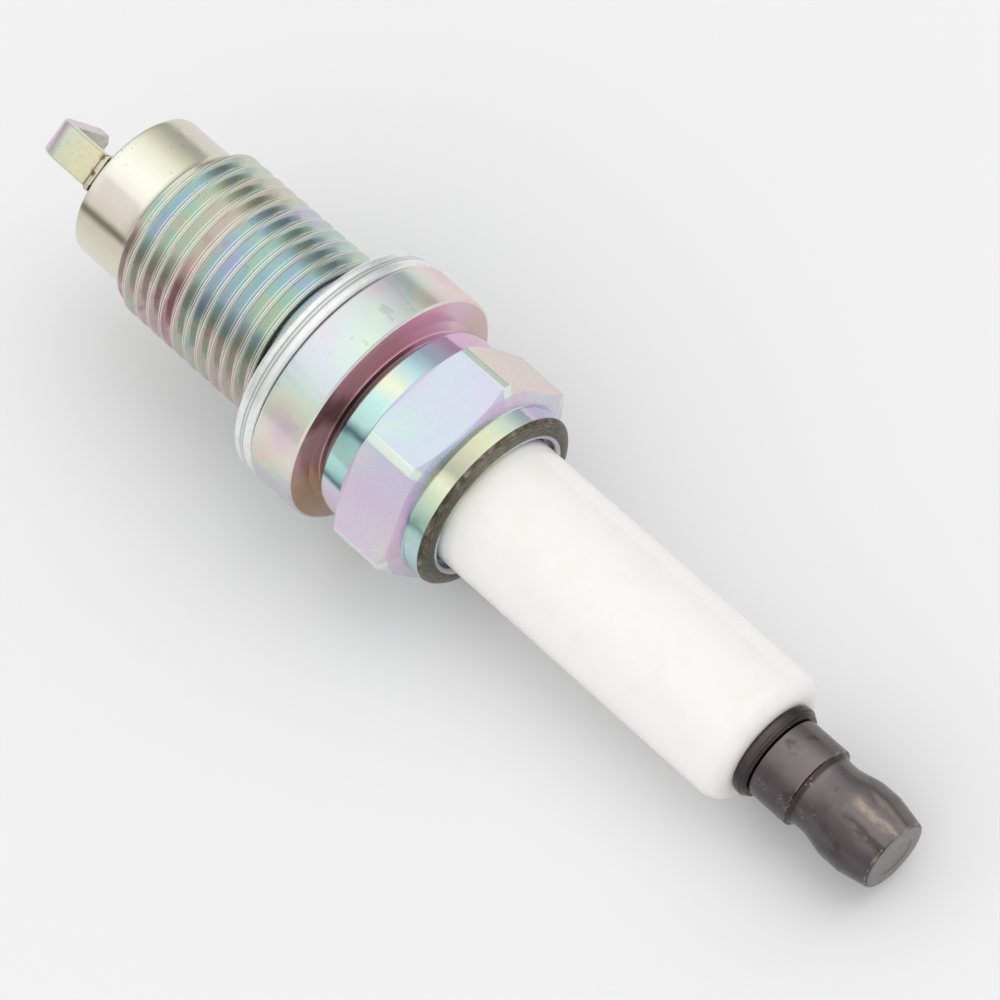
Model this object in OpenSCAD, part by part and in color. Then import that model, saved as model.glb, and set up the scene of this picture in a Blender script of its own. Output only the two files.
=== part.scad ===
// Spark plug with an M14 thread, a 16 mm hex, a captive crush gasket and a screw-on terminal nut.
// The plug lies along X: the firing end points to -X and the terminal to +X, with a hex flat facing up.
// The origin is on the plug's axis, in the plane of the seating face under the flange.
// Outlines are drawn as [radius, station], where a station is a distance along the axis from that plane.

/* [Thread] */
// Diameter over the thread crests
thread_d = 13.9; // [13.7:0.05:14]
// Distance from crest to crest
thread_pitch = 1.25; // [1.0:0.05:1.25]
// Number of crests
thread_crests = 12; // [8:1:12]
// Depth of the thread
thread_depth = 0.72; // [0.6:0.02:0.76]

/* [Shell] */
// Distance from the seating face to the shell's open end
shell_reach = 22.2; // [21.8:0.1:23]
// Diameter of the plain nose below the thread
nose_d = 11.96; // [11.6:0.02:12.1]
// Length of the plain nose
nose_len = 4.8; // [4.6:0.1:5.2]
// Diameter of the flange
flange_d = 19.1; // [18.6:0.1:20]
// Thickness of the flange at its rim
flange_h = 3.8; // [3.4:0.1:4.1]
// Diameter of the thin neck between the flange and the hex
neck_d = 13.8; // [13.4:0.1:14]
// Wrench size of the hex, across its flats
hex_af = 15.9; // [15.6:0.1:16.2]
// Station where the hex starts
hex_start = 7.2; // [7:0.1:7.5]
// Length of the hex along the axis
hex_len = 5.5; // [5:0.1:5.7]
// Diameter over the hex's turned-off corners
hex_over_corners = 17.98; // [17.6:0.02:18.2]
// Diameter of the crimped collar
collar_d = 14.4; // [14:0.1:14.6]
// Station of the crimped collar's end
collar_end = 14.65; // [14.2:0.05:14.8]

/* [Insulator] */
// Diameter of the bare ceramic barrel
barrel_d = 10.66; // [10.2:0.02:10.7]
// Station of the ceramic's terminal end
insulator_end = 40.7; // [38:0.1:42]
// How far the ceramic nose stands out of the shell
insulator_projection = 1.7; // [1:0.1:2]
// Diameter of the seal and resistor bore
seal_bore_d = 4.1; // [3.8:0.1:4.4]

/* [Electrodes] */
// Diameter of the centre electrode's shaft
electrode_d = 2.5; // [2.2:0.1:2.6]
// Diameter of the fine firing tip
firing_tip_d = 0.6; // [0.4:0.1:0.8]
// Spark gap
spark_gap = 1.05; // [0.7:0.05:1.1]
// Width of the ground electrode
strap_w = 2.7; // [2.4:0.1:3]
// Thickness of the ground electrode
strap_t = 1.2; // [1.1:0.05:1.35]
// How far the ground electrode stands out of the shell
strap_projection = 5.3; // [5.2:0.1:5.6]
// Turn of the ground electrode round the axis, from straight up
strap_turn = 27.5; // [0:0.5:359]

/* [Gasket] */
// Outer diameter of the crush gasket
gasket_d = 19; // [18.4:0.1:19.2]
// Thickness of the gasket before it is crushed
gasket_t = 1.75; // [1.3:0.05:1.9]
// Gap between the gasket and the flange as it lies loose
gasket_gap = 0.12; // [0.08:0.01:0.6]

/* [Terminal] */
// Diameter of the terminal nut over its snap bulge
terminal_d = 6.35; // [6.2:0.05:6.4]
// Diameter of the terminal nut at its waist
waist_d = 5.52; // [5.3:0.02:5.7]
// Length of the terminal nut
nut_len = 10.35; // [10:0.05:10.8]
// Diameter of the stud's collar
stud_collar_d = 7.38; // [7:0.02:7.6]
// Diameter over the stud's thread crests
stud_thread_d = 3.94; // [3.86:0.01:3.98]

/* [Hidden] */
$fn = 96;

// Thread
crest_r = thread_d / 2;
root_r = crest_r - thread_depth;
crest_flat = 0.24;
thread_start = -shell_reach + nose_len;
first_crest = thread_start + 0.56;
last_crest = first_crest + (thread_crests - 1) * thread_pitch;
flank_run = (thread_pitch - crest_flat) * 0.42;
relief_r = 6.2;

// Shell
nose_r = nose_d / 2;
flange_r = flange_d / 2;
neck_r = neck_d / 2;
groove_r = neck_r - 0.25;
shoulder_r = hex_af / 2 - 0.06;
shoulder_start = 5.15;
hex_end = hex_start + hex_len;
hex_corner_r = hex_af / 2 / cos(30);
chamfer_run = 0.75;
chamfer_rise = 1.05;
collar_r = collar_d / 2;
mouth_r = 4.75;
ledge_r = 4.0;
mid_bore_r = 4.95;
top_bore_r = 6.1;
lip_r = 5.62;
lip_t = 0.75;

// Insulator
barrel_r = barrel_d / 2;
packed_r = barrel_r - 0.25;
barrel_low = collar_end + 0.05;
body_r = mid_bore_r - 0.2;
flare_r = top_bore_r - 0.12;
leg_r = ledge_r - 0.22;
leg_tip_r = 2.3;
insulator_tip = -shell_reach - insulator_projection;
flare_top = 7.9;
seal_r = seal_bore_d / 2;
shaft_bore_r = electrode_d / 2 + 0.05;
edge_round = 1.9;

// Conical seat between the ceramic and the shell's ledge, and the packing in it
seat_base = -13.1;
seat_slope = 0.85;
packing_h = 0.35;
packing_in = ledge_r + 0.05;
packing_out = body_r - 0.05;
function seat_z(r) = seat_base + (r - leg_r) * seat_slope;

// Packing between the ceramic and the shell's top bore
fill_mid_r = (top_bore_r + packed_r) / 2;
wire_r = (top_bore_r - packed_r) / 2 - 0.01;
lower_ring_z = flare_top + 0.95;
upper_ring_z = collar_end - lip_t - wire_r - 0.01;
talc_low = lower_ring_z + wire_r + 0.01;
talc_high = upper_ring_z - wire_r - 0.01;

// Electrodes
shaft_r = electrode_d / 2;
core_r = 0.65;
head_r = seal_r - 0.1;
head_low = -10;
head_high = head_low + 1.2;
electrode_top = head_high + 0.9;
electrode_cone = insulator_tip - 0.1;
electrode_tip = electrode_cone - 0.4;
strap_out = -shell_reach - strap_projection;
strap_in = strap_out + strap_t;
strap_outer_r = nose_r - 0.12;
strap_bend_r = 1.7;
strap_past_axis = 0.5;
strap_corner_cut = 0.45;
pad_r = 0.4;
pad_t = 0.2;
tip_end = strap_in + pad_t + spark_gap;

// Seals and resistor
resistor_low = -5.6;
resistor_high = 5.4;
upper_seal_top = 10.2;

// Terminal stud and nut
stud_collar_t = 1.03;
nut_seat = insulator_end + stud_collar_t;
stud_r = seal_r - 0.2;
knurl_low = resistor_high + 1;
knurl_pitch = 0.8;
knurl_ribs = 5;
stud_pitch = 0.7;
stud_ribs = 11;
stud_crest_r = stud_thread_d / 2;
stud_root_r = stud_crest_r - 0.36;
nut_bore_r = stud_crest_r + 0.06;
nut_bore_depth = 8.8;
nut_top = nut_seat + nut_len;
terminal_r = terminal_d / 2;
waist_r = waist_d / 2;
skirt_len = 3.3;
end_face_r = 2.66;

// Lays an upright outline's solid along X, with its own +X turned to face up.
module laid() {
    rotate([0, 90, 0]) rotate([0, 0, 180]) children();
}

// A solid of revolution about the plug's axis.
module turned(outline) {
    laid() rotate_extrude() polygon(outline);
}

// Repeats an outline's points up the axis, one group for each ring.
function stacked(group, pitch, count) =
    [for (i = [0:count - 1]) for (p = group) [p[0], p[1] + i * pitch]];

// A smooth wave from one radius to another, as points.
function eased(r0, r1, z0, z1, steps) =
    [for (i = [0:steps]) let (t = i / steps) [r0 + (r1 - r0) * (1 - cos(180 * t)) / 2, z0 + (z1 - z0) * t]];

// A quarter circle from a cylinder onto its end face, as points.
function rounded_end(r, z, radius, steps) =
    [for (i = [0:steps]) let (a = 90 * i / steps) [r - radius + radius * cos(a), z - radius + radius * sin(a)]];

function thread_crest() = [
    [root_r, -flank_run - crest_flat / 2],
    [crest_r, -crest_flat / 2],
    [crest_r, crest_flat / 2],
    [root_r, flank_run + crest_flat / 2]];

function thread_points() = [for (p = stacked(thread_crest(), thread_pitch, thread_crests)) [p[0], p[1] + first_crest]];

module shell_outside() {
    turned(concat(
        [[0, -shell_reach], [nose_r - 0.2, -shell_reach], [nose_r, -shell_reach + 0.2], [nose_r, thread_start],
            [root_r, thread_start]],
        thread_points(),
        [[relief_r, last_crest + thread_pitch / 2], [relief_r, 0], [flange_r - 0.15, 0], [flange_r, 0.15],
            [flange_r, flange_h], [flange_r - 0.15, flange_h + 0.12], [neck_r + 0.5, 4.02], [neck_r + 0.05, 4.25],
            [neck_r + 0.12, 4.4], [groove_r, 4.52], [groove_r, shoulder_start - 0.15],
            [shoulder_r - 0.35, shoulder_start - 0.1], [shoulder_r, shoulder_start + 0.2], [shoulder_r, hex_start + 0.3],
            [collar_r, hex_end - 0.3], [collar_r, collar_end - 0.55], [collar_r - 0.3, collar_end - 0.25],
            [lip_r + 0.2, collar_end], [0, collar_end]]));
}

// One flat chamfer on a corner of the hex, as the block that it takes away. end is 1 for the terminal end, -1 for the other.
module corner_chamfer(end) {
    block = [6, 12, 3];
    face = hex_start + hex_len * (1 + end) / 2;
    translate([face, 0, hex_over_corners / 2 - chamfer_rise])
        rotate([0, end * atan2(chamfer_rise, chamfer_run), 0])
            translate([-block[0] / 2, -block[1] / 2, 0]) cube(block);
}

module hex_part() {
    difference() {
        intersection() {
            translate([hex_start, 0, 0]) laid() rotate([0, 0, 30]) cylinder(r = hex_corner_r, h = hex_len, $fn = 6);
            translate([hex_start, 0, 0]) laid() cylinder(d = hex_over_corners, h = hex_len);
        }
        for (turn = [30:60:330]) rotate([turn, 0, 0]) {
            corner_chamfer(-1);
            corner_chamfer(1);
        }
    }
}

module shell_bore() {
    turned([
        [0, -shell_reach - 1], [mouth_r + 0.25, -shell_reach - 1], [mouth_r + 0.25, -shell_reach],
        [mouth_r, -shell_reach + 0.25], [mouth_r, seat_base - 2.2], [ledge_r, seat_base - 1.6],
        [ledge_r, seat_z(ledge_r) - packing_h], [mid_bore_r, seat_z(mid_bore_r) - packing_h], [mid_bore_r, -0.6],
        [top_bore_r, 0.5], [top_bore_r, collar_end - lip_t], [lip_r, collar_end - lip_t], [lip_r, collar_end + 1],
        [0, collar_end + 1]]);
}

module shell() {
    color("lightsteelblue") difference() {
        union() {
            shell_outside();
            hex_part();
        }
        shell_bore();
    }
}

module gasket() {
    high = -gasket_gap;
    low = high - gasket_t;
    mid = (high + low) / 2;
    edge = gasket_d / 2;
    color("gainsboro") turned([
        [6.75, mid - 0.2], [7.05, low], [edge - 0.3, low], [edge - 0.08, low + 0.1], [edge, low + 0.3],
        [edge, mid - 0.2], [edge - 0.25, mid], [edge, mid + 0.2], [edge, high - 0.3], [edge - 0.08, high - 0.1],
        [edge - 0.3, high], [7.05, high], [6.75, mid + 0.2]]);
}

// The strap is drawn flat in its own plane, as [radius, station], then given its width.
module strap_side() {
    bend_x = strap_outer_r - strap_bend_r;
    bend_y = strap_out + strap_bend_r;
    inner_r = strap_bend_r - strap_t;
    outer_arc = [for (i = [0:8]) let (a = -90 * i / 8) [bend_x + strap_bend_r * cos(a), bend_y + strap_bend_r * sin(a)]];
    inner_arc = [for (i = [8:-1:0]) let (a = -90 * i / 8) [bend_x + inner_r * cos(a), bend_y + inner_r * sin(a)]];
    polygon(concat(
        [[strap_outer_r, -shell_reach]],
        outer_arc,
        [[-strap_past_axis, strap_out], [-strap_past_axis, strap_in]],
        inner_arc,
        [[strap_outer_r - strap_t, -shell_reach]]));
}

module strap_plan() {
    half = strap_w / 2;
    tip = -strap_past_axis;
    polygon([
        [tip, half - strap_corner_cut], [tip + strap_corner_cut, half], [nose_r, half],
        [nose_r, -half], [tip + strap_corner_cut, -half], [tip, strap_corner_cut - half]]);
}

module ground_electrode() {
    color("darkkhaki") laid() rotate([0, 0, strap_turn]) intersection() {
        rotate([90, 0, 0]) translate([0, 0, -strap_w / 2]) linear_extrude(strap_w) strap_side();
        translate([0, 0, strap_out - 1]) linear_extrude(strap_projection + 2) strap_plan();
    }
}

module ground_pad() {
    color("silver") turned([[0, strap_in], [pad_r, strap_in], [pad_r, strap_in + pad_t], [0, strap_in + pad_t]]);
}

module insulator_outside() {
    turned(concat(
        [[0, insulator_tip], [leg_tip_r - 0.4, insulator_tip], [leg_tip_r, insulator_tip + 0.4],
            [leg_r - 0.5, seat_base - 2.4], [leg_r, seat_base - 1.5], [leg_r, seat_z(leg_r)], [body_r, seat_z(body_r)],
            [body_r, -0.5], [flare_r, 0.6], [flare_r, flare_top - 0.1], [packed_r, flare_top + 0.45],
            [packed_r, barrel_low], [barrel_r, barrel_low]],
        rounded_end(barrel_r, insulator_end, edge_round, 6),
        [[0, insulator_end]]));
}

module insulator_bore() {
    turned([
        [0, insulator_tip - 1], [shaft_bore_r, insulator_tip - 1], [shaft_bore_r, head_low - 0.65],
        [seal_r, head_low], [seal_r, insulator_end + 1], [0, insulator_end + 1]]);
}

module insulator() {
    color("white") difference() {
        insulator_outside();
        insulator_bore();
    }
}

module seat_packing() {
    color("slategray") turned([
        [packing_in, seat_z(packing_in) - packing_h], [packing_out, seat_z(packing_out) - packing_h],
        [packing_out, seat_z(packing_out)], [packing_in, seat_z(packing_in)]]);
}

module wire_ring(station) {
    color("gray") laid() translate([0, 0, station]) rotate_extrude() translate([fill_mid_r, 0]) circle(r = wire_r, $fn = 32);
}

module lower_wire_ring() {
    wire_ring(lower_ring_z);
}

module upper_wire_ring() {
    wire_ring(upper_ring_z);
}

module talc_fill() {
    color("linen") turned([
        [packed_r, talc_low], [top_bore_r, talc_low], [top_bore_r, talc_high], [packed_r, talc_high]]);
}

module core_blank() {
    turned([
        [0, insulator_tip + 1.2], [core_r - 0.3, insulator_tip + 1.2], [core_r, insulator_tip + 1.8],
        [core_r, electrode_top], [0, electrode_top]]);
}

module centre_electrode() {
    color("darkgray") difference() {
        turned([
            [0, electrode_tip], [firing_tip_d / 2 + 0.15, electrode_tip], [shaft_r, electrode_cone],
            [shaft_r, head_low - 0.6], [head_r, head_low + 0.05], [head_r, head_high], [1.15, head_high],
            [1.15, electrode_top], [0, electrode_top]]);
        core_blank();
    }
}

module electrode_core() {
    color("sandybrown") core_blank();
}

module firing_tip() {
    color("lightgray") turned([
        [0, tip_end], [firing_tip_d / 2, tip_end], [firing_tip_d / 2, electrode_tip], [0, electrode_tip]]);
}

module lower_glass_seal() {
    color("dimgray") turned([
        [1.15, head_high], [seal_r, head_high], [seal_r, resistor_low], [0, resistor_low],
        [0, electrode_top], [1.15, electrode_top]]);
}

module resistor() {
    color("black") turned([[0, resistor_low], [seal_r, resistor_low], [seal_r, resistor_high], [0, resistor_high]]);
}

// The ribbed foot of the stud, which the upper glass grips.
function knurl_rib() = [[1.2, 0], [1.5, 0.15], [1.5, 0.5], [1.2, 0.65]];

function knurl_points() = [for (p = stacked(knurl_rib(), knurl_pitch, knurl_ribs)) [p[0], p[1] + knurl_low]];

module upper_glass_seal() {
    color("dimgray") turned(concat(
        [[0, resistor_high], [seal_r, resistor_high], [seal_r, upper_seal_top], [1.2, upper_seal_top]],
        [for (i = [knurl_ribs * 4 - 1:-1:0]) knurl_points()[i]],
        [[0, knurl_low]]));
}

function stud_rib() = [
    [stud_root_r, 0.05],
    [stud_crest_r, stud_pitch / 2 - 0.08],
    [stud_crest_r, stud_pitch / 2 + 0.08],
    [stud_root_r, stud_pitch - 0.05]];

function stud_points() = [for (p = stacked(stud_rib(), stud_pitch, stud_ribs)) [p[0], p[1] + nut_seat + 0.3]];

module terminal_stud() {
    stud_top = nut_seat + 0.3 + stud_ribs * stud_pitch + 0.25;
    collar = stud_collar_d / 2;
    color("dimgray") turned(concat(
        [[0, knurl_low]],
        knurl_points(),
        [[1.2, upper_seal_top], [stud_r, upper_seal_top + 0.5], [stud_r, insulator_end], [collar - 0.1, insulator_end],
            [collar, insulator_end + 0.15], [collar, nut_seat - 0.2], [collar - 0.2, nut_seat], [stud_root_r, nut_seat]],
        stud_points(),
        [[stud_root_r - 0.2, stud_top], [0, stud_top]]));
}

module terminal_nut() {
    skirt_end = nut_seat + skirt_len;
    bulge_start = nut_seat + 6.85;
    bulge_end = nut_seat + 8.05;
    color("dimgray") difference() {
        turned(concat(
            [[0, nut_seat], [terminal_r - 0.1, nut_seat], [terminal_r, nut_seat + 0.1], [terminal_r, skirt_end - 0.08],
                [terminal_r - 0.08, skirt_end], [waist_r + 0.14, skirt_end + 0.02], [waist_r, skirt_end + 0.45],
                [waist_r, skirt_end + 0.95]],
            eased(waist_r, terminal_r, skirt_end + 1.1, bulge_start, 10),
            [[terminal_r, bulge_end], [terminal_r - 0.08, bulge_end + 0.35], [end_face_r + 0.12, nut_top - 0.2],
                [end_face_r - 0.08, nut_top], [0, nut_top]]));
        turned([
            [0, nut_seat - 1], [nut_bore_r, nut_seat - 1], [nut_bore_r, nut_seat + nut_bore_depth],
            [0, nut_seat + nut_bore_depth + 0.8]]);
    }
}

shell();
gasket();
ground_electrode();
ground_pad();
insulator();
seat_packing();
lower_wire_ring();
talc_fill();
upper_wire_ring();
centre_electrode();
electrode_core();
firing_tip();
lower_glass_seal();
resistor();
upper_glass_seal();
terminal_stud();
terminal_nut();
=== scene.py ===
import math
import bmesh
import bpy
import numpy as np
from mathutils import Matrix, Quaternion, Vector


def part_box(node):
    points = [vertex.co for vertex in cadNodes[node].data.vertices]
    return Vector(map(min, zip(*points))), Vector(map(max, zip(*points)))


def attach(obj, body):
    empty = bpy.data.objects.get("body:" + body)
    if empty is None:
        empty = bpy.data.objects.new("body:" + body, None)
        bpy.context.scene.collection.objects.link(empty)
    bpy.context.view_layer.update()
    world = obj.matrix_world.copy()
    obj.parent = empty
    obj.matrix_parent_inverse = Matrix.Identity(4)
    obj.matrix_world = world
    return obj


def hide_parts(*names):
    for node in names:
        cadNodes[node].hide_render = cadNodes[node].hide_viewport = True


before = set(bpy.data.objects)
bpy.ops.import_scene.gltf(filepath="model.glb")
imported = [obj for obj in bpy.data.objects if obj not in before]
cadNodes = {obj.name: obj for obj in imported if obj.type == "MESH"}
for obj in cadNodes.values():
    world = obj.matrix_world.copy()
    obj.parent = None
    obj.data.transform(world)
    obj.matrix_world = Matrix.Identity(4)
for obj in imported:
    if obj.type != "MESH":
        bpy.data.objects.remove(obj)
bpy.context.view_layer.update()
mm = 0.001
fullTurn = 2 * math.pi

# shared mesh helpers: the plug lies along X, a station is a place along it, both in millimetres


def nodeSpan(nodeName):  # first and last station of a CAD node
    low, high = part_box(nodeName)
    return low.x / mm, high.x / mm


def evenAngles(count):  # from straight up, turning towards -Y, with both ends of the seam
    return np.linspace(0, fullTurn, count + 1)


def fullCorner(station, radius, fillet=0, finish=0):  # a corner may leave out its last two values
    return station, radius, fillet, finish


def roundCorners(corners, closed=False, steps=4):  # corners are (station, radius, fillet, finish)
    points = []
    count = len(corners)
    for i, corner in enumerate(corners):
        station, radius, fillet, finish = fullCorner(*corner)
        if fillet == 0 or (not closed and i in (0, count - 1)):
            points.append((station, radius, finish))
            continue
        here = np.array([station, radius])
        back = np.array(corners[i - 1][:2]) - here
        ahead = np.array(corners[(i + 1) % count][:2]) - here
        backLength, aheadLength = np.linalg.norm(back), np.linalg.norm(ahead)
        back, ahead = back / backLength, ahead / aheadLength
        half = math.acos(np.clip(back @ ahead, -1, 1)) / 2
        reach = min(fillet / math.tan(half), backLength * 0.49, aheadLength * 0.49)
        middle = (back + ahead) / np.linalg.norm(back + ahead)
        centre = here + middle * reach / math.cos(half)
        start, end = here + back * reach - centre, here + ahead * reach - centre
        sweep = math.pi - 2 * half
        for k in range(steps + 1):
            t = k / steps
            arm = (math.sin((1 - t) * sweep) * start + math.sin(t * sweep) * end) / math.sin(sweep)
            points.append((*(centre + arm), finish))
    if closed:
        points.append(points[0])
    return points


def easeRadius(r0, r1, x0, x1, steps):  # a smooth wave between two radii
    rise = [(1 - math.cos(math.pi * i / steps)) / 2 for i in range(steps + 1)]
    return [(x0 + (x1 - x0) * i / steps, r0 + (r1 - r0) * rise[i]) for i in range(steps + 1)]


def threadRings(spec, angles, finish=0):  # a right-hand helix, cut square at its start and its end
    pitch, crest = spec["pitch"], spec["firstCrest"]
    offsets = np.concatenate([-np.array(spec["offsets"][:0:-1]), spec["offsets"][:-1]])
    firstTurn = math.floor((spec["start"] - crest) / pitch) - 1
    lastTurn = math.ceil((spec["end"] - crest) / pitch)
    rings = []
    for turn in range(firstTurn, lastTurn + 1):
        for offset in offsets:
            station = crest + turn * pitch + offset + pitch * angles / fullTurn
            station = np.clip(station, spec["start"], spec["end"])
            away = (station - crest - pitch * angles / fullTurn + pitch / 2) % pitch - pitch / 2
            radius = np.interp(np.abs(away), spec["offsets"], spec["radii"])
            radius = np.minimum(radius, spec["startRadius"] + spec["leadIn"] * (station - spec["start"]))
            radius = np.minimum(radius, spec["endRadius"] + spec["runOut"] * (spec["end"] - station))
            rings.append((station, radius, finish))
    return rings


def wrapSkin(name, rings, angles, materials):  # one skin through the rings, each (station, radius, finish)
    columns = len(angles)
    stations = np.array([np.broadcast_to(ring[0], columns) for ring in rings])
    radii = np.array([np.broadcast_to(ring[1], columns) for ring in rings])
    points = np.stack([stations, -radii * np.sin(angles), radii * np.cos(angles)], -1).reshape(-1, 3) * mm
    corner = (np.arange(len(rings) - 1)[:, None] * columns + np.arange(columns - 1)).reshape(-1)
    faces = np.stack([corner, corner + 1, corner + columns + 1, corner + columns], -1)
    mesh = bpy.data.meshes.new(name)
    mesh.from_pydata(points.tolist(), [], faces.tolist())
    finishes = np.repeat([ring[2] for ring in rings[:-1]], columns - 1)
    mesh.polygons.foreach_set("material_index", finishes.astype(np.int32))
    return placePiece(name, mesh, materials)


def placePiece(name, mesh, materials, sharpAngle=42):  # closes the seams and shades the skin
    shape = bmesh.new()
    shape.from_mesh(mesh)
    bmesh.ops.remove_doubles(shape, verts=shape.verts, dist=1e-7)
    bmesh.ops.dissolve_degenerate(shape, edges=shape.edges, dist=1e-8)
    shape.to_mesh(mesh)
    shape.free()
    for material in materials:
        mesh.materials.append(material)
    mesh.shade_smooth()
    mesh.set_sharp_from_angle(angle=math.radians(sharpAngle))
    piece = bpy.data.objects.new(name, mesh)
    bpy.context.scene.collection.objects.link(piece)
    weighted = piece.modifiers.new("weightedNormals", "WEIGHTED_NORMAL")
    weighted.keep_sharp = True
    return piece


def hand(piece, body, slotName, *replacedNodes):  # hangs the piece on its body and hides the CAD nodes it replaces
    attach(piece, body)
    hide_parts(*replacedNodes)
    return piece


# shared material helpers


def hexColour(code):  # a screen colour such as "d9d4bd", as linear values
    values = [int(code[i:i + 2], 16) / 255 for i in (0, 2, 4)]
    return (*[v / 12.92 if v <= 0.04045 else ((v + 0.055) / 1.055) ** 2.4 for v in values], 1)


def addNode(tree, kind, inputs=None, **settings):
    node = tree.nodes.new(kind)
    for name, value in settings.items():
        setattr(node, name, value)
    for name, value in (inputs or {}).items():
        if isinstance(value, bpy.types.NodeSocket):
            tree.links.new(value, node.inputs[name])
        else:
            node.inputs[name].default_value = value
    return node


def math2(tree, operation, a, b=0.0, clamp=False):
    return addNode(tree, "ShaderNodeMath", {0: a, 1: b}, operation=operation, use_clamp=clamp).outputs[0]


def times(tree, a, b):
    return math2(tree, "MULTIPLY", a, b)


def apart(tree, a, b):  # how far two values lie apart
    return math2(tree, "ABSOLUTE", math2(tree, "SUBTRACT", a, b))


def vectorMath(tree, operation, a, b=(0, 0, 0)):
    return addNode(tree, "ShaderNodeVectorMath", {0: a, 1: b}, operation=operation).outputs


def splitVector(tree, vector):
    return addNode(tree, "ShaderNodeSeparateXYZ", {0: vector}).outputs


def joinVector(tree, x, y, z):
    return addNode(tree, "ShaderNodeCombineXYZ", {0: x, 1: y, 2: z}).outputs[0]


def mixColour(tree, amount, a, b, blend="MIX"):
    node = addNode(tree, "ShaderNodeMix", {0: amount, 6: a, 7: b}, data_type="RGBA", blend_type=blend)
    return node.outputs[2]


def stretch(tree, value, low, high, toLow=0.0, toHigh=1.0, smooth=False):
    kind = "SMOOTHSTEP" if smooth else "LINEAR"
    names = {"Value": value, "From Min": low, "From Max": high, "To Min": toLow, "To Max": toHigh}
    return addNode(tree, "ShaderNodeMapRange", names, interpolation_type=kind).outputs[0]


def colourRamp(tree, value, stops, smooth=True):  # stops are (place 0 to 1, colour code)
    node = addNode(tree, "ShaderNodeValToRGB", {0: value})
    ramp = node.color_ramp
    ramp.interpolation = "EASE" if smooth else "LINEAR"
    while len(ramp.elements) < len(stops):
        ramp.elements.new(0.5)
    for element, (place, code) in zip(ramp.elements, stops):
        element.position = place
        element.color = hexColour(code)
    return node.outputs[0]


def noise(tree, vector, scale, detail=2.0, roughness=0.5, distortion=0.0):
    names = {"Vector": vector, "Scale": scale, "Detail": detail, "Roughness": roughness}
    return addNode(tree, "ShaderNodeTexNoise", {**names, "Distortion": distortion}).outputs[0]


def newGroup(name, inputs, outputs):  # sockets are (name, kind, default)
    group = bpy.data.node_groups.new(name, "ShaderNodeTree")
    for socketName, kind, default in inputs:
        socket = group.interface.new_socket(socketName, in_out="INPUT", socket_type=kind)
        if default is not None:
            socket.default_value = default
    for socketName, kind in outputs:
        group.interface.new_socket(socketName, in_out="OUTPUT", socket_type=kind)
    return group, group.nodes.new("NodeGroupInput").outputs, group.nodes.new("NodeGroupOutput").inputs


def useGroup(tree, group, inputs=None):
    return addNode(tree, "ShaderNodeGroup", inputs, node_tree=group).outputs


def startMaterial(name):  # a material with its shader and its place on the plug
    material = bpy.data.materials.new(name)
    material.use_nodes = True
    tree = material.node_tree
    shader = tree.nodes["Principled BSDF"]
    return material, tree, shader, useGroup(tree, plugSpace)


def addBump(tree, shader, height, strength, distance):  # bump, with the distance in millimetres
    names = {"Height": height, "Strength": strength, "Distance": distance * mm}
    tree.links.new(addNode(tree, "ShaderNodeBump", names).outputs[0], shader.inputs["Normal"])


def makePlugSpace():  # where a point is on the plug, in millimetres and degrees, and a vector without a seam
    group, _, out = newGroup("plugSpace", [], [
        ("Station", "NodeSocketFloat"), ("Radius", "NodeSocketFloat"), ("Angle", "NodeSocketFloat"),
        ("Around", "NodeSocketVector"), ("Place", "NodeSocketVector")])
    place = addNode(group, "ShaderNodeTexCoord").outputs["Object"]
    scaled = vectorMath(group, "MULTIPLY", place, (1 / mm,) * 3)[0]
    split = splitVector(group, scaled)
    flat = joinVector(group, 0.0, split["Y"], split["Z"])
    turn = math2(group, "ARCTAN2", times(group, split["Y"], -1), split["Z"])
    sides = splitVector(group, vectorMath(group, "NORMALIZE", flat)[0])
    group.links.new(split["X"], out["Station"])
    group.links.new(vectorMath(group, "LENGTH", flat)["Value"], out["Radius"])
    group.links.new(times(group, turn, 180 / math.pi), out["Angle"])
    group.links.new(joinVector(group, split["X"], sides["Y"], sides["Z"]), out["Around"])
    group.links.new(scaled, out["Place"])
    return group


def makeTurningMarks():  # fine rings left by the lathe, plus a few deeper ones
    group, given, out = newGroup("turningMarks", [
        ("Around", "NodeSocketVector", None), ("Radius", "NodeSocketFloat", 0.0),
        ("Fineness", "NodeSocketFloat", 1.0)], [("Height", "NodeSocketFloat"), ("Streak", "NodeSocketFloat")])
    split = splitVector(group, given["Around"])
    along = times(group, math2(group, "ADD", split["X"], given["Radius"]), given["Fineness"])
    line = joinVector(group, along, split["Y"], split["Z"])
    fine = noise(group, line, 9.0, 3.0, 0.7)
    wide = noise(group, line, 1.7, 2.0, 0.6)
    group.links.new(math2(group, "ADD", fine, times(group, wide, 0.6)), out["Height"])
    group.links.new(stretch(group, fine, 0.42, 0.68), out["Streak"])
    return group


def makeScuffs():  # small nicks and rubbed specks, 1 where the surface is touched
    group, given, out = newGroup("scuffs", [
        ("Place", "NodeSocketVector", None), ("Size", "NodeSocketFloat", 1.0),
        ("Amount", "NodeSocketFloat", 0.3)], [("Mask", "NodeSocketFloat")])
    names = {"Vector": given["Place"], "Scale": math2(group, "DIVIDE", 2.2, given["Size"])}
    cells = addNode(group, "ShaderNodeTexVoronoi", names).outputs["Distance"]
    ragged = noise(group, given["Place"], math2(group, "DIVIDE", 5.0, given["Size"]), 4.0, 0.7)
    where = noise(group, given["Place"], math2(group, "DIVIDE", 0.45, given["Size"]), 2.0, 0.5)
    size = times(group, stretch(group, where, 0.45, 0.75), given["Amount"])
    edge = math2(group, "SUBTRACT", times(group, size, ragged), times(group, cells, 0.55))
    group.links.new(stretch(group, edge, -0.02, 0.04, smooth=True), out["Mask"])
    return group


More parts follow.
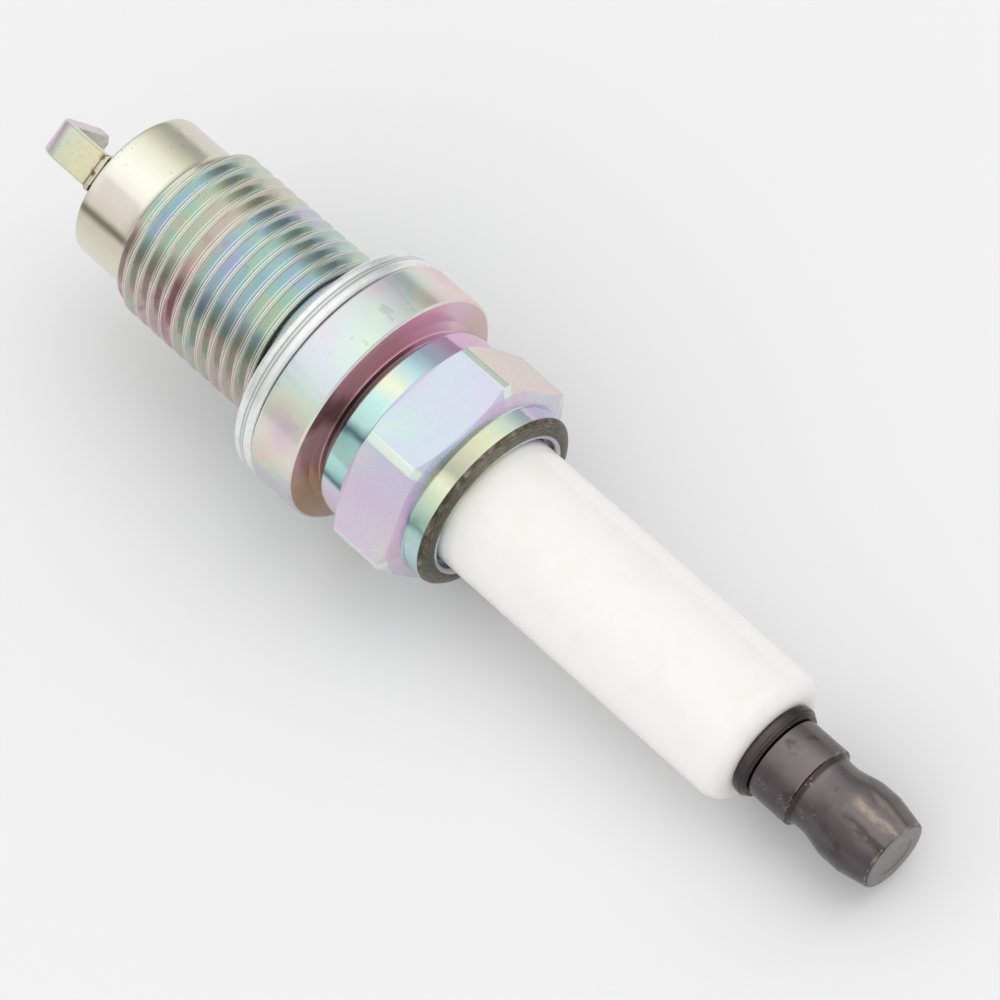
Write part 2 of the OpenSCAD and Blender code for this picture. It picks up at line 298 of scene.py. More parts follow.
def makeBandMask():  # 1 near a chosen value, fading over a chosen width, and broken up by noise
    group, given, out = newGroup("bandMask", [
        ("Value", "NodeSocketFloat", 0.0), ("Centre", "NodeSocketFloat", 0.0),
        ("Width", "NodeSocketFloat", 0.1), ("Place", "NodeSocketVector", None),
        ("Ragged", "NodeSocketFloat", 0.5)], [("Mask", "NodeSocketFloat")])
    away = apart(group, given["Value"], given["Centre"])
    near = math2(group, "SUBTRACT", 1.0, math2(group, "DIVIDE", away, given["Width"]), clamp=True)
    chips = stretch(group, noise(group, given["Place"], 1.6, 4.0, 0.7), 0.4, 0.7)
    keep = math2(group, "SUBTRACT", near, times(group, chips, given["Ragged"]), clamp=True)
    group.links.new(stretch(group, keep, 0.05, 0.45, smooth=True), out["Mask"])
    return group


def makeFilm(name, stops):  # how a passivation film colours the zinc, from thin to thick
    group, given, out = newGroup(
        name, [("Thickness", "NodeSocketFloat", 0.0)], [("Color", "NodeSocketColor")])
    group.links.new(colourRamp(group, given["Thickness"], stops, False), out["Color"])
    return group


plugSpace = makePlugSpace()
turningMarks = makeTurningMarks()
scuffs = makeScuffs()
bandMask = makeBandMask()
filmTint = makeFilm("filmTint", [  # on the thread's flanks
    (0.00, "d0b6ba"), (0.10, "dcc9d4"), (0.22, "dcd8ea"), (0.34, "d0dcea"), (0.46, "cbe2e3"),
    (0.57, "d3e8da"), (0.67, "e0e6d6"), (0.76, "e4e0d4"), (0.86, "e6dad6"), (0.94, "dfcacd"),
    (1.00, "d2b6bc")])
pearlTint = makeFilm("pearlTint", [  # paler, on the flange and the hex
    (0.00, "e0c6dc"), (0.18, "e0d4ea"), (0.34, "d2e0ec"), (0.50, "cfecdf"), (0.64, "e6f0d2"),
    (0.78, "f0e6cb"), (0.90, "eecfcc"), (1.00, "e0c3d8")])
print("node groups made")


def turnTint(tree, space, stops, wobble=14, scale=0.35):  # colour by angle: stops are (degrees, colour code)
    drift = math2(tree, "SUBTRACT", noise(tree, space["Place"], scale, 2.0), 0.5)
    angle = math2(tree, "ADD", space["Angle"], times(tree, drift, wobble * 2))
    places = [((degrees + 180) / 360, code) for degrees, code in stops]
    return colourRamp(tree, stretch(tree, angle, -180, 180), places, False)


def ringMarks(tree, space, fineness):
    names = {"Around": space["Around"], "Radius": space["Radius"], "Fineness": fineness}
    return useGroup(tree, turningMarks, names)


def specks(tree, space, size, amount):
    return useGroup(tree, scuffs, {"Place": space["Place"], "Size": size, "Amount": amount})["Mask"]


def tintWhere(tree, mask, share, tint, code):  # lays a share of a colour over the tint where the mask is 1
    return mixColour(tree, times(tree, mask, share), tint, hexColour(code))


def setFinish(tree, shader, tint, rough, metallic=1):
    tree.links.new(tint, shader.inputs["Base Color"])
    tree.links.new(rough, shader.inputs["Roughness"])
    shader.inputs["Metallic"].default_value = metallic


# metals of the shell, one for each turned zone

# colour by angle round each turned zone: the film's own tints, with painted dark reflections on the nose near
# 52°, on the shoulder at 37° and 66° and on the collar at 58°, painted shade on the face at 33° to 40°, in
# the groove from -12° to 46° and on the flange near 88°, and a painted highlight across the top of the crimp
# with painted shade down its sides
shellFilmAndPaintedLight = {
    "nose": [(-180, "ecebd5"), (-75, "e6cdd2"), (-48, "dbd8c6"), (-38, "dedbc8"), (-28, "d4d3be"),
             (-20, "dedcc2"), (-10, "ebead2"), (8, "f4f3e6"), (22, "f2ece2"), (36, "efe6dc"), (47, "e4dccb"),
             (51.5, "8e8975"), (53.5, "958f7c"), (58, "d2ccb8"), (74, "dfdac6"), (100, "e2e5d3"),
             (145, "e9dfd6"), (180, "ecebd5")],
    "flange": [(-180, "dedcd4"), (-120, "dfd2c6"), (-74, "e6d2c6"), (-60, "e2c2ce"), (-50, "dfd0e2"),
               (-40, "d8d0d8"), (-30, "dadad2"), (-18, "dfe2d2"), (-4, "dce6d0"), (12, "dfe2dd"),
               (26, "dcdfdd"), (40, "dce2d4"), (52, "d8dce2"), (64, "dfced8"), (76, "cdb8b6"), (88, "b8b0ac"),
               (104, "cfc8c4"), (180, "dedcd4")],
    "face": [(-180, "dcc0c8"), (-120, "dcc8b8"), (-76, "e0c2c0"), (-60, "e8c8d8"), (-42, "e8c0d2"),
             (-20, "e2a8bc"), (-4, "dca2b0"), (10, "d9a3ae"), (22, "cf98a2"), (33, "8a6468"), (40, "805c5e"),
             (50, "c2969a"), (64, "c09aa2"), (80, "b4917a"), (96, "a98a62"), (135, "c2a598"),
             (180, "dcc0c8")],
    "groove": [(-180, "dcc8ce"), (-60, "ecdae6"), (-28, "dab4c4"), (-12, "94767c"), (8, "7a6465"),
               (30, "5c4a49"), (46, "6f5656"), (58, "a88f92"), (80, "c9b59a"), (100, "d0c09c"),
               (180, "dcc8ce")],
    "shoulder": [(-180, "d6c6e4"), (-110, "dfd0c0"), (-70, "dcb6c6"), (-34, "e3bcdc"), (-18, "a6b8ca"),
                 (-6, "bce0e0"), (6, "eef2d4"), (16, "c8ece6"), (30, "bfe6e0"), (37, "4f6c72"),
                 (41, "a6d4d0"), (52, "c6efe4"), (61, "a6d4d2"), (66, "53727c"), (70, "cfd8e2"),
                 (78, "e0c6e0"), (88, "ecd2de"), (98, "f0e0bc"), (130, "dbe8cb"), (180, "d6c6e4")],
    "collar": [(-180, "d9e2ea"), (-110, "d6dcc8"), (-66, "c8b8d8"), (-54, "b6bcd8"), (-46, "d0b6d2"),
               (-37, "d6e8ee"), (-24, "e2f4e4"), (-8, "e0e4c0"), (2, "d6d8ba"), (12, "c4c6ac"),
               (20, "b4b8a2"), (27, "ebeecd"), (36, "dff0d0"), (44, "d4eed8"), (52, "b8dcca"), (58, "7c9a98"),
               (64, "b6d8d2"), (74, "c0dada"), (84, "b4dade"), (98, "b8ccd2"), (120, "d8d4e0"),
               (150, "e0ecd0"), (180, "d9e2ea")],
    "crimp": [(-180, "d8d4cc"), (-60, "b4b0a8"), (0, "ece8e0"), (40, "b4b0a8"), (75, "b8b4ac"),
              (110, "c9c5bd"), (180, "d8d4cc")],
}


def noseMetal():
    material, tree, shader, space = startMaterial("noseMetal")
    # film tints by angle, with a painted dark reflection near 52°
    tint = turnTint(tree, space, shellFilmAndPaintedLight["nose"], 3)
    tint = tintWhere(tree, specks(tree, space, 0.8, 0.28), 0.5, tint, "8f8672")
    rough = stretch(tree, noise(tree, space["Place"], 1.1, 3.0), 0.3, 0.7, 0.17, 0.27)
    setFinish(tree, shader, tint, rough)
    addBump(tree, shader, ringMarks(tree, space, 1.2)["Height"], 0.12, 0.01)
    return material


def threadMetal():
    material, tree, shader, space = startMaterial("threadMetal")
    along = stretch(tree, space["Station"], threadSpec["start"], threadSpec["end"])
    drift = colourRamp(tree, along, threadSpec["filmAlong"], False)
    side = colourRamp(tree, stretch(tree, space["Angle"], -180, 180), threadSpec["filmAround"], False)
    cloud = stretch(tree, noise(tree, space["Place"], 0.42, 2.0, 0.5, 0.4), 0.25, 0.75, -0.2, 0.2)
    film = math2(tree, "ADD", drift, math2(tree, "SUBTRACT", side, 0.5))
    film = math2(tree, "ADD", film, cloud, clamp=True)
    flank = useGroup(tree, filmTint, {"Thickness": film})["Color"]
    # painted shade and painted dark reflections on the flanks, by angle
    shade = turnTint(tree, space, threadSpec["shade"], 6, 0.6)
    flank = mixColour(tree, 1.0, flank, shade, "MULTIPLY")
    crest = stretch(tree, space["Radius"], *threadSpec["crestMask"], smooth=True)
    tint = mixColour(tree, crest, flank, turnTint(tree, space, threadSpec["crestTints"], 10))
    tint = tintWhere(tree, specks(tree, space, 0.55, 0.34), 0.55, tint, "6d5a3c")
    setFinish(tree, shader, tint, stretch(tree, crest, 0, 1, 0.2, 0.24))
    addBump(tree, shader, noise(tree, space["Place"], 6.0, 3.0, 0.6), 0.1, 0.01)
    return material


def flangeMetal():
    material, tree, shader, space = startMaterial("flangeMetal")
    film = stretch(tree, noise(tree, space["Place"], 0.16, 2.0, 0.45, 0.3), 0.3, 0.7, 0.1, 0.95)
    pearl = useGroup(tree, pearlTint, {"Thickness": film})["Color"]
    # the flange's tints by angle carry painted shade near 88°
    tint = mixColour(tree, 0.5, turnTint(tree, space, shellFilmAndPaintedLight["flange"], 7), pearl)
    stain = stretch(tree, noise(tree, space["Place"], 0.7, 4.0, 0.6), 0.62, 0.74, smooth=True)
    tint = tintWhere(tree, stain, 0.35, tint, "a9aca4")
    tint = tintWhere(tree, specks(tree, space, 0.8, 0.3), 0.4, tint, "8d8a74")
    setFinish(tree, shader, tint, stretch(tree, ringMarks(tree, space, 0.8)["Streak"], 0, 1, 0.22, 0.25))
    addBump(tree, shader, noise(tree, space["Place"], 0.5, 1.0, 0.4), 0.1, 0.03)
    return material


def turnedFilmMetal(name, zone, roughness, wobble=12, metallic=1):  # one metal for each turned zone
    material, tree, shader, space = startMaterial(name)
    marks = ringMarks(tree, space, 2.2)
    shade = stretch(tree, marks["Streak"], 0, 1, 0.94, 1.0)
    # the zone's film tints by angle, with the painted shade and painted dark reflections that the table holds
    # for it
    tint = turnTint(tree, space, shellFilmAndPaintedLight[zone], wobble, 0.5)
    tint = mixColour(tree, 1.0, tint, joinVector(tree, shade, shade, shade), "MULTIPLY")
    rough = stretch(tree, marks["Streak"], 0, 1, roughness, roughness + 0.06)
    setFinish(tree, shader, tint, rough, metallic)
    addBump(tree, shader, marks["Height"], 0.2, 0.012)
    return material


def hexMetal():
    material, tree, shader, space = startMaterial("hexMetal")
    film = stretch(tree, noise(tree, space["Place"], 0.22, 1.5, 0.4, 0.3), 0.3, 0.7, 0.12, 0.6)
    pearl = useGroup(tree, pearlTint, {"Thickness": film})["Color"]
    tint = mixColour(tree, 0.35, turnTint(tree, space, hexSpec["sideTints"], 0), pearl)
    past = math2(tree, "MODULO", math2(tree, "ADD", space["Angle"], 390), 60)  # degrees past the last corner
    short = apart(tree, past, 60.0)  # degrees short of the next one
    # lighter lines along the six corners: edge wear and a painted highlight
    wornAndHighlit = stretch(tree, math2(tree, "MINIMUM", short, past), 2.9, 1.9, smooth=True)
    tint = mixColour(tree, wornAndHighlit, tint, hexColour("e4f2e6"))
    low = hexSpec["start"] + hexSpec["startCone"][2] * 0.55
    high = hexSpec["end"] - hexSpec["endCone"][2] * 0.55
    ends = math2(tree, "MAXIMUM", stretch(tree, space["Station"], low, low - 0.1, smooth=True),
                 stretch(tree, space["Station"], high, high + 0.1, smooth=True))
    chamfers = turnTint(tree, space, hexSpec["chamferTints"], 5)
    tint = mixColour(tree, times(tree, ends, 0.75), tint, chamfers)
    tint = tintWhere(tree, specks(tree, space, 0.7, 0.24), 0.35, tint, "8b93a0")
    rough = stretch(tree, noise(tree, space["Place"], 1.4, 3.0), 0.3, 0.7, 0.24, 0.32)
    setFinish(tree, shader, tint, rough)
    addBump(tree, shader, noise(tree, space["Place"], 0.3, 1.0, 0.4), 0.12, 0.04)
    return material


def crimpMetal():  # brushed dark by the crimping tool, with a painted highlight across its top and painted shade down its sides
    material, tree, shader, space = startMaterial("crimpMetal")
    marks = ringMarks(tree, space, 4.5)
    tint = colourRamp(tree, marks["Streak"], [(0.0, "6f6b62"), (0.5, "9a968c"), (1.0, "c4c0b4")])
    # painted highlight across the top and painted shade down the sides
    tint = mixColour(tree, 1.0, tint, turnTint(tree, space, shellFilmAndPaintedLight["crimp"], 20), "MULTIPLY")
    setFinish(tree, shader, tint, stretch(tree, marks["Streak"], 0, 1, 0.36, 0.48))
    addBump(tree, shader, marks["Height"], 0.4, 0.012)
    return material


def turnedMetal(name, light, dark, fineness, low, high, bump, depth):  # low and high are its roughness
    material, tree, shader, space = startMaterial(name)
    marks = ringMarks(tree, space, fineness)
    tint = colourRamp(tree, marks["Streak"], [(0.0, dark), (1.0, light)])
    setFinish(tree, shader, tint, stretch(tree, marks["Streak"], 0, 1, low, high))
    addBump(tree, shader, marks["Height"], bump, depth)
    return material


# shell: nose, rolled thread, flange, neck, hex, collar and crimp in one skin

shellStart, shellEnd = nodeSpan("shell")
shellSpec = {
    "noseRadius": 5.98,
    "noseLength": 4.8,
    "mouthRadius": 5.0,
    "mouthChamfer": 0.12,
    "boreRadius": 4.75,
    "boreSteps": [(0.5, 6.1), (-0.6, 4.95), (-13.0, 4.95), (-13.35, 4.0), (-14.7, 4.0, 0.1),
                  (-15.3, 4.75, 0.2)],
    "strapAngle": 27.5,  # degrees from straight up, towards -Y
    "patchAngle": 36.5,
    "patchDistance": 5.83,  # where the trimmed flat under the ground strap lies, from the axis
    "reliefRadius": 6.2,
    "flangeRadius": 9.545,
    "flangeHeight": 3.8,
    "collarRadius": 7.19,
    "columns": 300,
}
onNose, onThread, onFlange, onFace, onShoulder, onHex, onCollar, onCrimp, inBore, onLip, inGroove = range(11)
noseEnd = shellStart + shellSpec["noseLength"]
threadSpec = {
    "pitch": 1.25,
    "firstCrest": -16.19,
    "start": noseEnd,
    "end": -2.3,
    "startRadius": 6.02,
    "endRadius": 6.2,
    "leadIn": 1.3,
    "runOut": 0.9,
    "offsets": [0.0, 0.025, 0.055, 0.105, 0.145, 0.34, 0.5, 0.575, 0.625],  # half a pitch, from the crest
    "radii": [6.86, 6.875, 6.94, 6.95, 6.905, 6.6, 6.32, 6.245, 6.23],
    "crestMask": (6.9, 6.935),
    "crestTints": [(-180, "efe8d6"), (-60, "dcd9cf"), (-20, "e6e4d4"), (20, "f3eee0"), (60, "e6dcd2"),
                   (90, "dfcdca"), (180, "efe8d2")],
    "filmAlong": [(0.0, "d4d4d4"), (0.07, "cccccc"), (0.13, "9c9c9c"), (0.20, "c8c8c8"), (0.3, "d6d6d6"),
                  (0.4, "e6e6e6"), (0.47, "8c8c8c"), (0.56, "a6a6a6"), (0.68, "b6b6b6"), (0.82, "b8b8b8"),
                  (1.0, "a0a0a0")],
    "filmAround": [(0.0, "bcbcbc"), (0.33, "c5c5c5"), (0.5, "bcbcbc"), (0.61, "c5c5c5"), (0.67, "e1e1e1"),
                   (0.75, "e4e4e4"), (0.9, "cbcbcb"), (1.0, "bcbcbc")],
    # shade: painted shade and painted dark reflections on the flanks, by angle
    "shade": [(-180, "e6e6e6"), (-75, "f7f7f7"), (-58, "f2f0ee"), (-46, "dad8d4"), (-31, "ddd9d8"),
              (-24, "e6e2e0"), (-15, "fafafa"), (0, "f6f6f6"), (15, "f1f1f1"), (32, "f4f0f0"), (40, "e0dada"),
              (47, "d2cccc"), (60, "d8d2d4"), (75, "d8d2d2"), (90, "eae4e4"), (180, "e6e6e6")],
}
hexSpec = {
    "acrossFlats": 15.9,
    "acrossCorners": 17.98,
    "start": 7.2,
    "end": 12.72,
    "startCone": (7.9, 9.1, 0.62),  # low radius, high radius, length
    "endCone": (7.5, 9.05, 0.82),
    "edge": 0.045,
    "sideTints": [(-180, "d6dcde"), (-150, "d8dce2"), (-149, "dccee0"), (-91, "d8dccf"), (-89, "ecd0c4"),
                  (-31, "f0d9b8"), (-29, "d0d0e4"), (0, "cbdadf"), (29, "cddae4"), (31, "ccc6de"),
                  (60, "dcbad6"), (89, "e2cadb"), (91, "e2e0e8"), (149, "d8e6e2"), (151, "dfe6e8"),
                  (180, "dfe6e8")],
    "chamferTints": [(-180, "d6c6e4"), (-60, "cfd8e6"), (-20, "d9b8d6"), (0, "c3cbe6"), (20, "b7bfd8"),
                     (45, "c6a8d2"), (70, "dcb8d4"), (110, "d6d0e2"), (180, "d6c6e4")],
}


def softMin(a, b, blend):  # the smaller of two lengths, rounded where they meet
    mix = np.clip(0.5 + (b - a) / blend / 2, 0, 1)
    return b * (1 - mix) + a * mix - blend * mix * (1 - mix)


def hexRadius(angles):  # from the axis to the hex, flat on top, with its corners turned off
    fromFlat = (angles + math.pi / 6) % (math.pi / 3) - math.pi / 6
    return softMin(hexSpec["acrossFlats"] / 2 / np.cos(fromFlat), hexSpec["acrossCorners"] / 2, 0.02)


def shellAngles():  # even columns, with closer ones at the six corners of the hex
    step = fullTurn / shellSpec["columns"]
    corners = [math.radians(30 + 60 * i) for i in range(6)]
    close = [math.radians(d) for d in (0.6, 1.8, 2.1, 2.35, 2.7, 3.3)]
    angles = [i * step for i in range(shellSpec["columns"] + 1)]
    angles = [a for a in angles if min(abs(a - c) for c in corners) > close[-1]]
    angles += [c + side * d for c in corners for side in (-1, 1) for d in close]
    return np.array(sorted(angles))


def noseRings(angles):  # the plain nose, trimmed flat where the strap was welded and dressed
    radius, length, chamfer = shellSpec["noseRadius"], shellSpec["noseLength"], shellSpec["mouthChamfer"]
    away = (angles - math.radians(shellSpec["patchAngle"]) + math.pi) % fullTurn - math.pi
    nearStrap = np.abs(away) < math.pi / 4
    rings = [(shellStart + chamfer, shellSpec["mouthRadius"] - chamfer, inBore),
             (shellStart, shellSpec["mouthRadius"], onNose)]
    for step, cut in [(0.0, 0.32), (0.02, 0.2), (0.07, 0.1), (0.15, 0.03), (0.28, 0.0)]:
        rings.append((shellStart + step, radius - cut, onNose))
    for step in np.linspace(0.6, length - 0.05, 14):
        lift = 0.16 * np.clip((step - length + 0.9) / 0.85, 0, 1) ** 2
        flat = (shellSpec["patchDistance"] + lift) / np.cos(np.where(nearStrap, away, 0))
        rings.append((shellStart + step, softMin(np.where(nearStrap, flat, 99), radius, 0.05), onNose))
    return rings


def hexRings(angles):
    radius, edge = hexRadius(angles), hexSpec["edge"]
    low, high, length = hexSpec["startCone"]
    low2, high2, length2 = hexSpec["endCone"]
    slope, slope2 = (high - low) / length, (high2 - low2) / length2
    first = hexSpec["start"] + (radius - low) / slope
    last = hexSpec["end"] - (radius - low2) / slope2
    rings = [(hexSpec["start"] - 0.02, low - 0.01), (first - edge, radius - slope * edge * 0.8),
             (first - edge * 0.2, radius - edge * 0.25), (first + edge, radius), (last - edge, radius),
             (last + edge * 0.2, radius - edge * 0.25), (last + edge, radius - slope2 * edge * 0.8),
             (hexSpec["end"], low2)]
    return [(*ring, onHex) for ring in rings]


def flangeRings():
    flange, height, relief = shellSpec["flangeRadius"], shellSpec["flangeHeight"], shellSpec["reliefRadius"]
    return roundCorners([
        (threadSpec["end"], relief, 0, inBore), (-0.1, relief, 0.15, inBore), (0.0, 6.6, 0, onFlange),
        (0.0, flange, 0.22, onFlange), (height, flange, 0.09, onFlange),
        (height + 0.14, flange - 0.22, 0.05, onFace), (4.02, 7.75, 0.25, onFace), (4.24, 7.0, 0.08, onFace),
        (4.3, 7.09, 0.04, onFace), (4.38, 7.06, 0.03, inGroove), (4.5, 6.7, 0.06, inGroove),
        (4.96, 6.68, 0.14, inGroove), (5.06, 7.4, 0.12, onShoulder), (5.3, 7.885, 0.22, onShoulder),
        (7.1, 7.89, 0, onShoulder)])


def crimpRings():  # the collar, its rim crimped over the ceramic, and back through the bore to the mouth
    start, end, collar = hexSpec["end"], shellEnd, shellSpec["collarRadius"]
    mouth, chamfer = shellSpec["mouthRadius"], shellSpec["mouthChamfer"]
    rim = [(start + 0.02, collar + 0.13, 0, onCollar), (start + 0.08, collar + 0.01, 0.05, onCollar),
           (end - 0.6, collar, 0, onCollar), (end - 0.48, collar - 0.02, 0.1, onCrimp),
           (end - 0.27, 6.98, 0.25, onCrimp), (end - 0.09, 6.62, 0.4, onCrimp),
           (end - 0.03, 6.42, 0.2, onCrimp), (end, 6.2, 0.1, onCrimp),
           (end - 0.02, 5.98, 0.05, onLip), (end - 0.06, 5.72, 0.08, onLip),
           (end - 0.2, 5.63, 0.05, onLip), (end - 0.78, 5.64, 0, inBore), (end - 0.8, 6.1, 0, inBore)]
    inside = [(*fullCorner(*step)[:3], inBore) for step in shellSpec["boreSteps"]]
    inside.append((shellStart + 0.4, shellSpec["boreRadius"], 0, inBore))
    inside.append((shellStart + chamfer, mouth - chamfer, 0, inBore))
    return roundCorners(rim + inside)


def makeShell():
    angles = shellAngles()
    rings = noseRings(angles) + threadRings(threadSpec, angles, onThread) + flangeRings()
    rings += hexRings(angles) + crimpRings()
    finishes = [  # in the order of onNose to inGroove
        noseMetal(), threadMetal(), flangeMetal(), turnedFilmMetal("faceMetal", "face", 0.16, 12, 0.4),
        turnedFilmMetal("shoulderMetal", "shoulder", 0.1, 5), hexMetal(),
        turnedFilmMetal("collarMetal", "collar", 0.12, 6), crimpMetal(),
        turnedMetal("boreMetal", "c9c5b2", "a9a492", 1.0, 0.32, 0.42, 0.3, 0.015),
        turnedFilmMetal("lipMetal", "collar", 0.2), turnedFilmMetal("grooveMetal", "groove", 0.22, 12, 0.6)]
    piece = wrapSkin("shellBody", rings, angles, finishes)
    return hand(piece, "plug", "chromated_steel", "shell")


makeShell()
print("shell made")

# crush gasket: folded steel, two rolls on its rim

gasketStart, gasketEnd = nodeSpan("gasket")
gasketMiddle = (gasketStart + gasketEnd) / 2
gasketSpec = {
    "outerRadius": 9.49,
    "innerRadius": 6.76,
    "notch": 0.14,
    "notchSpacing": 0.13,
    "seamRadius": 8.35,
    "columns": 240,
    "wave": 0.012,
}


def gasketMetal():
    material, tree, shader, space = startMaterial("gasketMetal")
    marks = ringMarks(tree, space, 2.0)
    dull = noise(tree, space["Place"], 0.7, 3.0, 0.6)
    tint = colourRamp(tree, dull, [(0.3, "e4e6e3"), (0.55, "f1f3f2"), (0.75, "e9ebe8")])
    # painted shade in the crease at the rim where the two rolls meet
    away = apart(tree, space["Station"], gasketMiddle)
    outer = gasketSpec["outerRadius"]
    deep = stretch(tree, space["Radius"], outer - 0.02, outer - 0.1)
    fold = times(tree, stretch(tree, away, 0.24, 0.14), deep)
    tint = mixColour(tree, fold, tint, hexColour("c2c6c3"))
    tint = tintWhere(tree, specks(tree, space, 0.6, 0.25), 0.5, tint, "8a8c88")
    setFinish(tree, shader, tint, stretch(tree, marks["Streak"], 0, 1, 0.26, 0.36))
    addBump(tree, shader, marks["Height"], 0.2, 0.012)
    return material


def makeGasket():  # one half of the outline, and its mirror image beyond the fold
    outer, inner, seam = gasketSpec["outerRadius"], gasketSpec["innerRadius"], gasketSpec["seamRadius"]
    half, notch, gap = (gasketEnd - gasketStart) / 2, gasketSpec["notch"], gasketSpec["notchSpacing"]
    side = [(0.16, inner, 0.08), (half, inner + 0.35, 0.15), (half, seam - 0.1, 0.04),
            (half - 0.06, seam, 0.03), (half, seam + 0.1, 0.04), (half, outer - 0.2, 0.25),
            (half - 0.3, outer, 0.28),
            (gap + 0.09, outer, 0.14), (gap, outer - notch, 0.03), (0.04, outer - 0.03, 0.05)]
    corners = [(gasketMiddle - x, r, fillet) for x, r, fillet in side]
    corners += [(gasketMiddle + x, r, fillet) for x, r, fillet in reversed(side)]
    angles = evenAngles(gasketSpec["columns"])
    wave = gasketSpec["wave"] * (np.sin(3 * angles + 0.7) + 0.6 * np.sin(7 * angles + 2.1))
    rings = [(x, r + wave * (r - inner) / (outer - inner), f) for x, r, f in roundCorners(corners, True)]
    piece = wrapSkin("crushGasket", rings, angles, [gasketMetal()])
    return hand(piece, "gasket", "plated_steel", "gasket")


makeGasket()
print("gasket made")

# ground strap: one flat bar welded to the shell and bent over the centre electrode

strapStart = nodeSpan("ground_electrode")[0]
strapSpec = {
    "width": 2.7,
    "thickness": 1.2,
    "outerRadius": 5.86,  # from the axis to the strap's outer face
    "bendRadius": 1.7,
    "pastAxis": 0.5,
    "cornerCut": 0.45,
    "bevel": 0.17,
    "tipBevel": 0.03,
    "legStops": [0.1, 0.18, 0.26, 0.32, 0.38, 0.42, 0.45, 0.49, 0.54, 0.9, 1.6, 2.4, 3.1],
    "weldBead": [  # (distance from the shell, swelling)
        (0.0, 0.1), (0.1, 0.22), (0.26, 0.24), (0.38, 0.14), (0.45, -0.06), (0.54, 0.0)],
    "weldLine": (0.43, 0.49),
    "tints": [(0.0, "dccfdc"), (0.14, "dfc6d6"), (0.27, "d3dccb"), (0.45, "dadcc0"), (0.8, "e3deba"),
              (1.0, "d2cdb4")],
}


def strapMetal():
    material, tree, shader, space = startMaterial("strapMetal")
    along = stretch(tree, space["Station"], strapStart, shellStart)
    drift = times(tree, math2(tree, "SUBTRACT", noise(tree, space["Place"], 0.6, 2.0), 0.5), 0.25)
    tint = colourRamp(tree, math2(tree, "ADD", along, drift), strapSpec["tints"], False)
    marks = noise(tree, space["Place"], 3.0, 4.0, 0.65)
    tint = mixColour(tree, stretch(tree, marks, 0.5, 0.75, 0.0, 0.2), tint, hexColour("a8a18c"))
    low, high = [shellStart - step for step in reversed(strapSpec["weldLine"])]
    line = times(tree, stretch(tree, space["Station"], low - 0.05, low),
                 stretch(tree, space["Station"], high + 0.05, high))
    tint = tintWhere(tree, line, 0.8, tint, "6a5f4c")
    burn = stretch(tree, noise(tree, space["Place"], 1.6, 3.0), 0.55, 0.66, smooth=True)
    nearRoot = stretch(tree, space["Station"], shellStart - 0.8, shellStart - 0.3)
    tint = tintWhere(tree, burn, nearRoot, tint, "7a5f4c")
    setFinish(tree, shader, tint, stretch(tree, marks, 0.3, 0.7, 0.24, 0.34))
    addBump(tree, shader, marks, 0.2, 0.015)
    return material


def strapSection(width, thickness, bevel):  # half-width and height pairs round the bar, bevelled
    w, t, b = width / 2, thickness / 2, bevel
    quarter = [(w, t - b), (w - b * 0.3, t - b * 0.3), (w - b, t)]
    right = quarter + [(-x, y) for x, y in reversed(quarter)]
    return right + [(-x, -y) for x, y in right]


def strapLanes():  # the middle of the bar, as (station, radial, outward direction), from the weld to the tip
    half, outer, bend = strapSpec["thickness"] / 2, strapSpec["outerRadius"], strapSpec["bendRadius"]
    turnRadial, turnStation, tip = outer - bend, strapStart + bend, -strapSpec["pastAxis"]
    lanes = [(shellStart - step, outer - half, (0, 1)) for step in [0.0] + strapSpec["legStops"]]
    for turn in np.linspace(0, math.pi / 2, 17):
        across, up = math.sin(turn), math.cos(turn)
        lanes.append((turnStation - (bend - half) * across, turnRadial + (bend - half) * up, (-across, up)))
    reach = np.linspace(turnRadial, tip + strapSpec["cornerCut"], 7)[1:].tolist()
    reach += [tip + strapSpec["tipBevel"], tip]
    return lanes + [(strapStart + half, radial, (-1, 0)) for radial in reach]


def makeStrap():
    angle = math.radians(shellSpec["strapAngle"])
    outward = Vector((0, -math.sin(angle), math.cos(angle)))
    sideways = Vector((0, -math.cos(angle), -math.sin(angle)))
    steps, swelling = zip(*strapSpec["weldBead"])
    tip, bevel = -strapSpec["pastAxis"], strapSpec["tipBevel"]
    shape = bmesh.new()
    loops = []
    for station, radial, normal in strapLanes():
        flare = np.interp(shellStart - station, steps, swelling)
        cut, thickness = max(0, tip + strapSpec["cornerCut"] - radial), strapSpec["thickness"] + flare
        if radial == tip:
            cut, thickness = cut + bevel, thickness - 2 * bevel
        width = strapSpec["width"] + 1.4 * flare - 2 * cut
        loop = []
        for across, up in strapSection(width, thickness, strapSpec["bevel"]):
            along = Vector((station + normal[0] * up, 0, 0))
            rise = outward * (radial + normal[1] * up - flare / 2)
            loop.append(shape.verts.new((along + rise + sideways * across) * mm))
        loops.append(loop)
    count = len(loops[0])
    for first, second in zip(loops, loops[1:]):
        for i in range(count):
            j = (i + 1) % count
            shape.faces.new((first[i], first[j], second[j], second[i]))
    shape.faces.new(list(reversed(loops[0])))
    shape.faces.new(loops[-1])
    bmesh.ops.recalc_face_normals(shape, faces=shape.faces)
    mesh = bpy.data.meshes.new("groundStrap")
    shape.to_mesh(mesh)
    shape.free()
    piece = placePiece("groundStrap", mesh, [strapMetal()], 50)
    return hand(piece, "plug", "nickel_alloy", "ground_electrode")


makeStrap()
print("ground strap made")

# ceramic insulator

